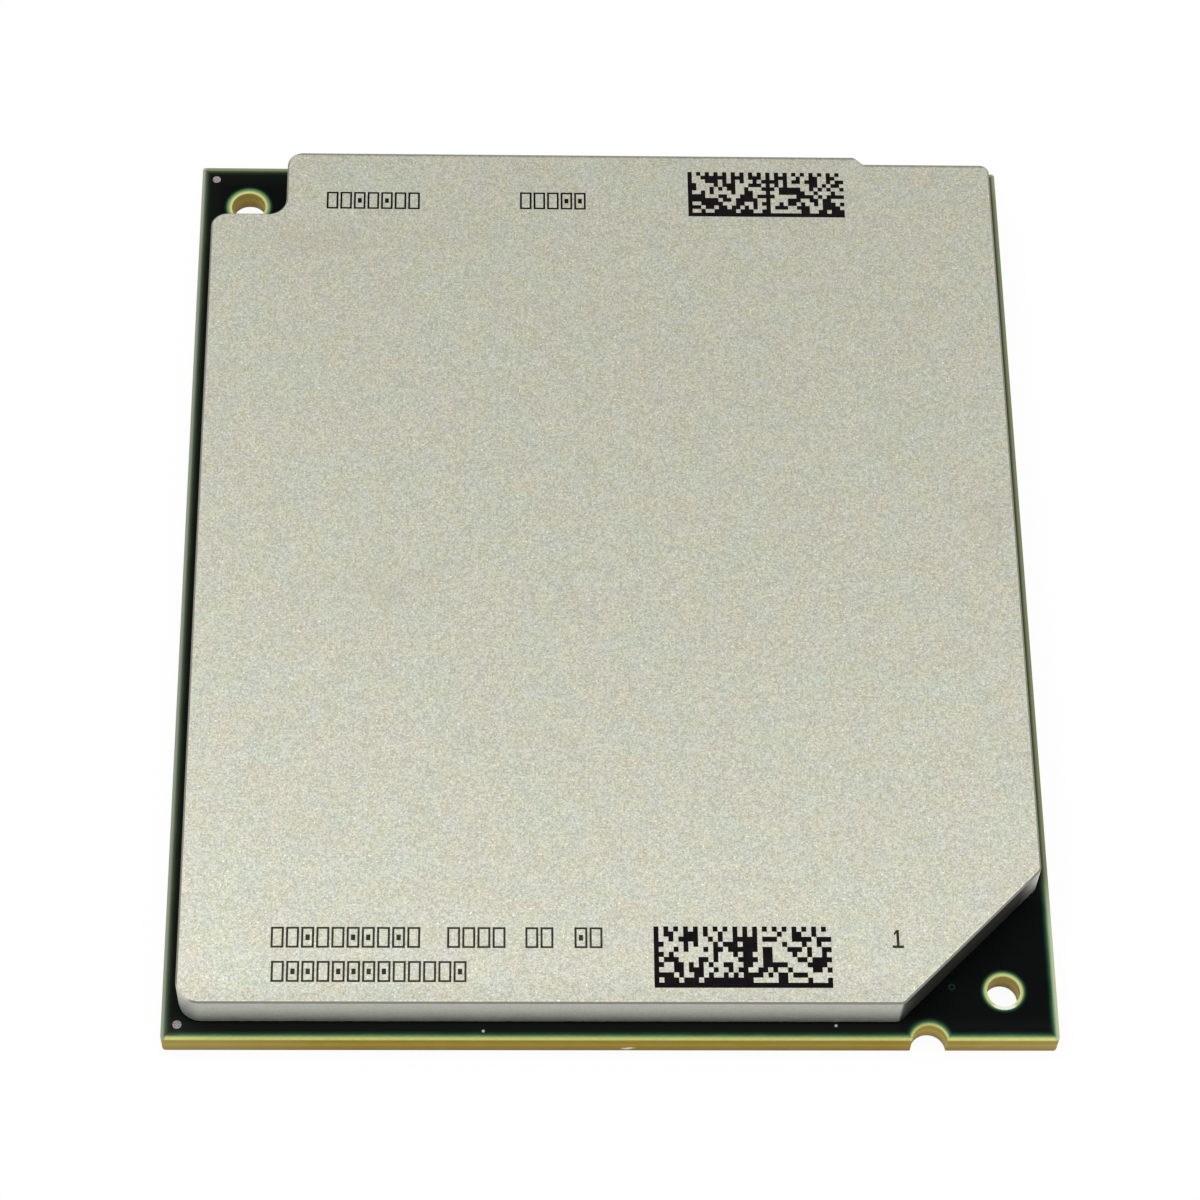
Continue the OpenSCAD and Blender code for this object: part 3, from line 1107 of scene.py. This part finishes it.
@dataclass(frozen=True)
class Studio:
    """Floor, light and camera.

    The floor's half size and the camera's near clip are in metres, other lengths in millimetres and turns
    in degrees.
    """

    floor_half: float = 3.0
    floor_drop: float = 0.02
    floor_white: float = 0.9
    floor_glow: float = 0.94
    sky_level: float = 0.95
    lamps: tuple[Lamp, ...] = (
        Lamp("left_lamp", (-0.3, 0.12, 0.55), power=0.76),
        Lamp("middle_lamp", (0.0, 0.12, 0.55), power=0.19),
        Lamp("right_lamp", (0.3, 0.12, 0.55), power=0.29),
    )
    target: Point = (-0.484, -2.180, 2.1)
    distance: float = 318.536
    elevation: float = 60.632
    yaw: float = 3.680
    roll: float = 3.480
    lens: float = 112.97
    sensor: float = 36.0
    near_clip: float = 0.01

    def build(self) -> None:
        """Set up floor, sky, lamps and camera."""
        bpy.context.scene.view_settings.view_transform = "Standard"
        self.floor()
        self.sky()
        for lamp in self.lamps:
            lamp.build()
        self.camera()

    def seen(self, graph: Graph) -> Socket:
        """1 for rays that show the background, 0 for those that only light the object."""
        path = graph.add("ShaderNodeLightPath").outputs
        return graph.most(path["Is Camera Ray"], path["Is Glossy Ray"], path["Is Transmission Ray"])

    def floor(self) -> None:
        """Lay a white floor that keeps a soft shadow."""
        mesh = bpy.data.meshes.new("floor")
        half = self.floor_half
        low = -self.floor_drop * MM
        corners = [(-half, -half, low), (half, -half, low), (half, half, low), (-half, half, low)]
        mesh.from_pydata(corners, [], [range(len(corners))])
        material = bpy.data.materials.new("floor")
        material.use_nodes = True
        material.cycles.emission_sampling = "NONE"
        graph = Graph(material.node_tree)
        graph.tree.nodes.remove(graph.tree.nodes["Principled BSDF"])
        matt = graph.add("ShaderNodeBsdfDiffuse", {"Color": (self.floor_white,) * 3 + (1.0,)})
        glow = graph.add("ShaderNodeEmission", {"Strength": 1.0})
        both = graph.add("ShaderNodeMixShader", {"Fac": graph.times(self.seen(graph), self.floor_glow)})
        graph.tree.links.new(matt.outputs[0], both.inputs[1])
        graph.tree.links.new(glow.outputs[0], both.inputs[2])
        graph.tree.links.new(both.outputs[0], graph.tree.nodes["Material Output"].inputs["Surface"])
        mesh.materials.append(material)
        floor = bpy.data.objects.new("floor", mesh)
        bpy.context.scene.collection.objects.link(floor)

    def sky(self) -> None:
        """Put a white sky all round, dimmer where it only lights the object."""
        world = bpy.data.worlds.new("studio")
        world.use_nodes = True
        world.cycles.sampling_method = "NONE"
        graph = Graph(world.node_tree)
        background = graph.tree.nodes["Background"]
        strength = graph.math("MULTIPLY_ADD", self.seen(graph), 1.0 - self.sky_level, self.sky_level)
        graph.feed(background.inputs["Color"], (1.0, 1.0, 1.0, 1.0))
        graph.feed(background.inputs["Strength"], strength)
        bpy.context.scene.world = world

    def camera(self) -> None:
        """Stand the camera where the view is taken from."""
        rise = math.radians(self.elevation)
        turn = math.radians(self.yaw)
        roll = math.radians(self.roll)
        forward = Vector((math.cos(rise) * math.sin(turn), math.cos(rise) * math.cos(turn), -math.sin(rise)))
        level = Vector((math.cos(turn), -math.sin(turn), 0.0))
        right = math.cos(roll) * level + math.sin(roll) * level.cross(forward)
        up = right.cross(forward)
        eye = (Vector(self.target) - self.distance * forward) * MM
        data = bpy.data.cameras.new("camera")
        data.lens = self.lens
        data.sensor_width = self.sensor
        data.clip_start = self.near_clip
        camera = bpy.data.objects.new("camera", data)
        camera.matrix_world = Matrix.Translation(eye) @ Matrix((right, up, -forward)).transposed().to_4x4()
        bpy.context.scene.collection.objects.link(camera)
        bpy.context.scene.camera = camera


def dress(node: str, material: bpy.types.Material) -> None:
    """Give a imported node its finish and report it.

    Args:
        node: The node's name.
        material: Its material.
    """
    mesh = frame["nodes"][node].data
    mesh.materials.clear()
    mesh.materials.append(material)
    LOG.info("%s is dressed in %s", node, material.name)


@dataclass(frozen=True)
class Board:
    """The board: laminate, solder mask and position marks. Sizes are in millimetres."""

    mask_rings: Point = (0.30, 0.40, 0.24)
    land_pitch: float = 1.27
    land_d: float = 0.8
    land_keepout: float = 3.2
    marks: Mottled = Mottled(
        "mark_metal", srgb(98, 93, 92), srgb(152, 145, 143),
        grain=0.12, shiny=0.42, dull=0.6, depth=0.006, metallic=0.6,
    )

    def build(self) -> None:
        """Dress the board's three nodes."""
        openings = Openings.from_record()
        dress("substrate", Laminate(openings, self.land_pitch, self.land_d, self.land_keepout).material())
        dress("solder_mask", SolderMask(openings, self.mask_rings).material())
        dress("position_marks", self.marks.material())


class Quarter(Enum):
    """A quarter of the land grid."""

    FRONT_LEFT = "front_left"
    FRONT_RIGHT = "front_right"
    REAR_LEFT = "rear_left"
    REAR_RIGHT = "rear_right"


@dataclass(frozen=True)
class LandGrid:
    """The gold lands of the underside."""

    gold: Mottled = Mottled(
        "land_gold", srgb(206, 160, 72), srgb(236, 198, 112),
        grain=0.18, shiny=0.24, dull=0.4, depth=0.003, metallic=1.0,
    )

    def build(self) -> None:
        """Dress each quarter of the grid."""
        material = self.gold.material()
        for quarter in Quarter:
            dress(f"lands_{quarter.value}", material)


@dataclass(frozen=True)
class Lid:
    """The heat-spreader lid and the adhesive under its rim."""

    nickel: BlastedNickel = BlastedNickel()
    adhesive: Mottled = Mottled(
        "seal_adhesive", srgb(20, 20, 21), srgb(40, 40, 41),
        grain=0.25, shiny=0.5, dull=0.7, depth=0.02,
    )

    def build(self) -> None:
        """Dress the lid and its seal."""
        dress("lid", self.nickel.material())
        dress("lid_seal", self.adhesive.material())


class Place(Enum):
    """Which of the two dies a piece belongs to."""

    FRONT = "front"
    REAR = "rear"


@dataclass(frozen=True)
class DieStack:
    """The two dies with their underfill and thermal pads."""

    silicon: Mottled = Mottled(
        "silicon", srgb(58, 62, 72), srgb(86, 90, 100),
        grain=0.8, shiny=0.12, dull=0.22, depth=0.001,
    )
    resin: Mottled = Mottled(
        "underfill_resin", srgb(18, 18, 20), srgb(38, 38, 42),
        grain=0.3, shiny=0.25, dull=0.4, depth=0.01,
    )
    pad: Mottled = Mottled(
        "thermal_pad", srgb(146, 146, 148), srgb(176, 176, 178),
        grain=0.2, shiny=0.6, dull=0.8, depth=0.015,
    )

    def build(self) -> None:
        """Dress both stacks."""
        finishes = {
            "die": self.silicon.material(),
            "underfill": self.resin.material(),
            "thermal_pad": self.pad.material(),
        }
        for place in Place:
            for piece, material in finishes.items():
                dress(f"{piece}_{place.value}", material)


class Row(Enum):
    """A row of capacitors, by its place round the dies."""

    LEFT = "left"
    RIGHT = "right"
    FRONT = "front"
    REAR = "rear"
    MIDDLE = "middle"


@dataclass(frozen=True)
class CapacitorRows:
    """The capacitors round the dies."""

    ceramic: Mottled = Mottled(
        "ceramic", srgb(128, 102, 76), srgb(160, 132, 102),
        grain=0.1, shiny=0.5, dull=0.7, depth=0.004,
    )
    tin: Mottled = Mottled(
        "tin", srgb(176, 176, 178), srgb(206, 206, 208),
        grain=0.12, shiny=0.3, dull=0.5, depth=0.004, metallic=1.0,
    )

    def build(self) -> None:
        """Dress the bodies and terminals of every row."""
        body = self.ceramic.material()
        terminal = self.tin.material()
        for row in Row:
            dress(f"capacitor_bodies_{row.value}", body)
            dress(f"capacitor_terminals_{row.value}", terminal)


class NodeMesh(Graph):
    """A Geometry Nodes tree in the making, and the way to turn it into pieces."""

    def __init__(self, name: str, inputs: Mapping[str, str]) -> None:
        """Make the tree with its inputs.

        Args:
            name: The tree's name.
            inputs: The kind of each input's socket, by the input's name.
        """
        super().__init__(bpy.data.node_groups.new(name, "GeometryNodeTree"))
        interface = self.tree.interface
        self.identifiers: dict[str, str] = {}
        for label, kind in inputs.items():
            socket = interface.new_socket(name=label, in_out="INPUT", socket_type=kind)
            self.identifiers[label] = socket.identifier
        interface.new_socket(name="Geometry", in_out="OUTPUT", socket_type="NodeSocketGeometry")
        self.given = self.add("NodeGroupInput").outputs

    def join(self, *geometries: Socket) -> Socket:
        """Put geometries together.

        Args:
            geometries: What is joined.

        Returns:
            The joined geometry.
        """
        node = self.add("GeometryNodeJoinGeometry")
        for geometry in geometries:
            self.tree.links.new(geometry, node.inputs["Geometry"])
        return node.outputs["Geometry"]

    def close(self, geometry: Socket) -> None:
        """End the tree with plain, dressed geometry.

        Args:
            geometry: What the tree makes.
        """
        real = self.add("GeometryNodeRealizeInstances", {"Geometry": geometry}).outputs["Geometry"]
        inputs = {"Geometry": real, "Material": self.given["Material"]}
        dressed = self.add("GeometryNodeSetMaterial", inputs).outputs["Geometry"]
        self.add("NodeGroupOutput", {"Geometry": dressed})

    def piece(self, name: str, place: Vector, values: Mapping[str, object]) -> bpy.types.Object:
        """Turn the tree into one piece with a plain mesh.

        Args:
            name: The piece's name.
            place: Where its middle goes, in metres.
            values: What each input gets.

        Returns:
            The piece.
        """
        piece = bpy.data.objects.new(name, bpy.data.meshes.new(name))
        bpy.context.scene.collection.objects.link(piece)
        modifier = piece.modifiers.new(name, "NODES")
        modifier.node_group = self.tree
        for label, value in values.items():
            modifier[self.identifiers[label]] = value
        mesh = bpy.data.meshes.new_from_object(piece.evaluated_get(bpy.context.evaluated_depsgraph_get()))
        piece.modifiers.clear()
        mesh.transform(Matrix.Translation(place))
        piece.data = mesh
        return piece


class CellMesh(NodeMesh):
    """A tree that prints a block of cells, some dark and raised and the others left out."""

    def __init__(self, name: str) -> None:
        """Make the tree with its grid of cells.

        Args:
            name: The tree's name.
        """
        super().__init__(name, {
            "Columns": "NodeSocketInt",
            "Rows": "NodeSocketInt",
            "Field": "NodeSocketInt",
            "Width": "NodeSocketFloat",
            "Height": "NodeSocketFloat",
            "Thickness": "NodeSocketFloat",
            "Fill": "NodeSocketFloat",
            "Seed": "NodeSocketInt",
            "Material": "NodeSocketMaterial",
        })
        self.grid = self.add("GeometryNodeMeshGrid", {
            "Size X": self.given["Width"],
            "Size Y": self.given["Height"],
            "Vertices X": self.math("ADD", self.given["Columns"], 1.0),
            "Vertices Y": self.math("ADD", self.given["Rows"], 1.0),
        }).outputs["Mesh"]
        self.index = self.add("GeometryNodeInputIndex").outputs["Index"]
        self.column = self.math("FLOOR", self.math("DIVIDE", self.index, self.given["Rows"]))
        self.row = self.math("MODULO", self.index, self.given["Rows"])
        self.across = self.math("MODULO", self.column, self.given["Field"])

    def is_row(self, row: Feed) -> Socket:
        """1 for the cells of this row, 0 for the others."""
        return self.math("COMPARE", self.row, row, CELL_HALF)

    def is_across(self, across: Feed) -> Socket:
        """1 for the cells of this column of each field, 0 for the others."""
        return self.math("COMPARE", self.across, across, CELL_HALF)

    def chance(self, key: Socket) -> Socket:
        """Draw 1 or 0, alike for all cells that have the same key, with the fill as the chance of 1.

        Args:
            key: What the draw depends on.

        Returns:
            The draw.
        """
        inputs = {"Probability": self.given["Fill"], "ID": key, "Seed": self.given["Seed"]}
        node = self.add("FunctionNodeRandomValue", inputs, data_type="BOOLEAN")
        return next(socket for socket in node.outputs if socket.type == "BOOLEAN")

    def choose(self, condition: Socket, yes: Socket, no: Socket) -> Socket:
        """One value where a condition is 1, and another where it is 0."""
        return self.math("MULTIPLY_ADD", condition, self.minus(yes, no), no)

    def raise_cells(self, dark: Socket) -> None:
        """Raise the dark cells, leave out the others and end the tree.

        Args:
            dark: 1 for a dark cell, 0 for the others.
        """
        inputs = {"Geometry": self.grid, "Selection": self.math("LESS_THAN", dark, CELL_HALF)}
        cells = self.add("GeometryNodeDeleteGeometry", inputs, domain="FACE").outputs["Geometry"]
        inputs = {"Mesh": cells, "Offset Scale": self.given["Thickness"], "Individual": False}
        raised = self.add("GeometryNodeExtrudeMesh", inputs, mode="FACES").outputs["Mesh"]
        bottom = self.add("GeometryNodeFlipFaces", {"Mesh": cells}).outputs["Mesh"]
        inputs = {"Geometry": self.join(raised, bottom), "Distance": WELD}
        self.close(self.add("GeometryNodeMergeByDistance", inputs).outputs["Geometry"])


def code_tree() -> CellMesh:
    """Fields like those of a printed code: solid at the left and the foot, dotted at the right and the
    head, and drawn by chance between.

    Returns:
        The tree.
    """
    tree = CellMesh("code_cells")
    odd_row = tree.math("MODULO", tree.row, 2.0)
    even_column = tree.minus(1.0, tree.math("MODULO", tree.column, 2.0))
    right = tree.is_across(tree.minus(tree.given["Field"], 1.0))
    head = tree.is_row(tree.minus(tree.given["Rows"], 1.0))
    dark = tree.choose(right, odd_row, tree.chance(tree.index))
    dark = tree.choose(head, even_column, dark)
    tree.raise_cells(tree.most(dark, tree.is_across(0.0), tree.is_row(0.0)))
    return tree


def box_tree() -> CellMesh:
    """Rows of upright boxes, one to a field less its last column, some with a dot by chance.

    Returns:
        The tree.
    """
    tree = CellMesh("box_cells")
    field = tree.given["Field"]
    last_row = tree.minus(tree.given["Rows"], 1.0)
    last_across = tree.minus(field, 2.0)
    inside = tree.math("LESS_THAN", tree.across, tree.minus(field, 1.0 + CELL_HALF))
    ends = tree.times(inside, tree.most(tree.is_row(0.0), tree.is_row(last_row)))
    middle = tree.math("COMPARE", tree.row, tree.math("DIVIDE", last_row, 2.0), 1.0 + CELL_HALF)
    centre = tree.is_across(tree.math("DIVIDE", last_across, 2.0))
    box = tree.math("FLOOR", tree.math("DIVIDE", tree.column, field))
    dot = tree.times(centre, middle, tree.chance(box))
    tree.raise_cells(tree.most(dot, tree.is_across(0.0), tree.is_across(last_across), ends))
    return tree


class Ink(Enum):
    """How strongly a marking is printed."""

    FULL = Mottled(
        "print_ink", srgb(9, 7, 8), srgb(24, 19, 22),
        grain=0.12, shiny=0.5, dull=0.65, depth=0.002, specular=0.03,
    )
    PALE = Mottled(
        "pale_ink", srgb(40, 39, 32), srgb(62, 60, 51),
        grain=0.12, shiny=0.5, dull=0.65, depth=0.002, specular=0.03,
    )


@dataclass(frozen=True)
class CellBlock:
    """One printed block: two corners on the lid, in millimetres, its seed, its cells, those to a field,
    its ink, and the share of dark cells among those drawn by chance.
    """

    name: str
    low: Flat
    high: Flat
    seed: int
    columns: int = 36
    rows: int = 12
    field: int = 18
    ink: Ink = Ink.FULL
    fill: float = 0.5

    def build(
        self, tree: CellMesh, low: float, thickness: float, ink: bpy.types.Material
    ) -> bpy.types.Object:
        """Print the block.

        Args:
            tree: The tree that makes the cells.
            low: The height of the print's underside, in metres.
            thickness: Its thickness, in metres.
            ink: Its material.

        Returns:
            The piece.
        """
        size = (Vector(self.high) - Vector(self.low)) * MM
        middle = (Vector(self.high) + Vector(self.low)) / 2 * MM
        values = {
            "Columns": self.columns,
            "Rows": self.rows,
            "Field": self.field,
            "Width": size.x,
            "Height": size.y,
            "Thickness": thickness,
            "Fill": self.fill,
            "Seed": self.seed,
            "Material": ink,
        }
        return tree.piece(self.name, Vector((middle.x, middle.y, low)), values)


@dataclass(frozen=True)
class BoxRow:
    """One row of printed boxes: its left end and middle, in millimetres, its count, its seed and its ink.

    The pitch of the boxes and their height are in millimetres, and a field is a box and the gap after it.
    """

    name: str
    left: float
    middle: float
    count: int
    seed: int
    ink: Ink = Ink.PALE
    pitch: float = 1.2
    height: float = 1.8
    field: int = 7
    rows: int = 11

    def block(self) -> CellBlock:
        """The row as a block of cells.

        Returns:
            The block.
        """
        columns = self.count * self.field - 1
        low = (self.left, self.middle - self.height / 2)
        high = (self.left + columns * self.pitch / self.field, self.middle + self.height / 2)
        return CellBlock(self.name, low, high, self.seed, columns, self.rows, self.field, self.ink)


@dataclass(frozen=True)
class Marking:
    """The marking on top of the lid. Sizes are in millimetres."""

    slot: str = "print_ink"
    sunk: float = 0.004
    proud: float = 0.008
    codes: tuple[CellBlock, ...] = (
        CellBlock("code_block_rear", (7.66, 34.64), (21.55, 39.44), seed=11),
        CellBlock("code_block_front", (3.29, -39.42), (17.43, -34.13), seed=29),
    )
    box_rows: tuple[BoxRow, ...] = (
        BoxRow("box_row_rear_left", -24.35, 36.07, count=7, seed=3, ink=Ink.FULL),
        BoxRow("box_row_rear_middle", -7.26, 36.17, count=5, seed=5, ink=Ink.FULL),
        BoxRow("box_row_front_a", -27.06, -35.13, count=10, seed=7),
        BoxRow("box_row_front_b", -13.1, -35.13, count=4, seed=8),
        BoxRow("box_row_front_c", -6.9, -35.13, count=2, seed=9),
        BoxRow("box_row_front_d", -3.0, -35.13, count=2, seed=10),
        BoxRow("box_row_front_e", -26.97, -38.07, count=13, seed=13),
    )
    numeral_low: Flat = (22.3, -35.97)
    numeral_high: Flat = (23.2, -34.41)
    numeral_stroke: float = 0.22
    flag_reach: float = 0.3
    flag_drop: float = 0.275

    @property
    def thickness(self) -> float:
        """Thickness of the print, in metres."""
        return (self.sunk + self.proud) * MM

    def build(self) -> None:
        """Print the blocks, the rows and the index numeral."""
        inks = {ink: ink.value.material() for ink in Ink}
        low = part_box("lid")[1].z - self.sunk * MM
        rows = [row.block() for row in self.box_rows]
        for tree, blocks in ((code_tree(), self.codes), (box_tree(), rows)):
            for block in blocks:
                self.finish(block.build(tree, low, self.thickness, inks[block.ink]))
        self.finish(self.numeral(low, inks[Ink.PALE]))

    def finish(self, piece: bpy.types.Object) -> None:
        """Fix a printed piece to the object and report it.

        Args:
            piece: The piece.
        """
        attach(piece, "root")
        LOG.info("%s is printed with %d faces", piece.name, len(piece.data.polygons))

    def numeral(self, low: float, ink: bpy.types.Material) -> bpy.types.Object:
        """Print the numeral one that marks the first corner.

        Args:
            low: The height of its underside, in metres.
            ink: Its material.

        Returns:
            The piece.
        """
        left, foot = self.numeral_low
        right, head = self.numeral_high
        half = self.numeral_stroke / 2
        middle = (left + right) / 2
        base = foot + self.numeral_stroke
        flag = middle - self.flag_reach
        drop = head - self.flag_drop
        outline = [
            (left, foot), (right, foot), (right, base), (middle + half, base), (middle + half, head),
            (middle - half, head), (flag, drop), (flag, drop - self.numeral_stroke),
            (middle - half, drop), (middle - half, base), (left, base),
        ]
        shape = bmesh.new()
        face = shape.faces.new([shape.verts.new((x * MM, y * MM, low)) for x, y in outline])
        raised = bmesh.ops.extrude_face_region(shape, geom=[face], use_keep_orig=True)["geom"]
        lifted = [element for element in raised if isinstance(element, bmesh.types.BMVert)]
        bmesh.ops.translate(shape, verts=lifted, vec=(0.0, 0.0, self.thickness))
        bmesh.ops.recalc_face_normals(shape, faces=shape.faces)
        mesh = bpy.data.meshes.new("index_numeral")
        shape.to_mesh(mesh)
        shape.free()
        mesh.materials.append(ink)
        piece = bpy.data.objects.new("index_numeral", mesh)
        bpy.context.scene.collection.objects.link(piece)
        return piece


def main() -> None:
    """Build and dress the sub-assemblies in order."""
    logging.basicConfig(level=logging.INFO, format="%(name)s: %(message)s")
    for part in (Studio(), Board(), LandGrid(), Lid(), DieStack(), CapacitorRows(), Marking()):
        part.build()


if __name__ == "__main__":
    main()
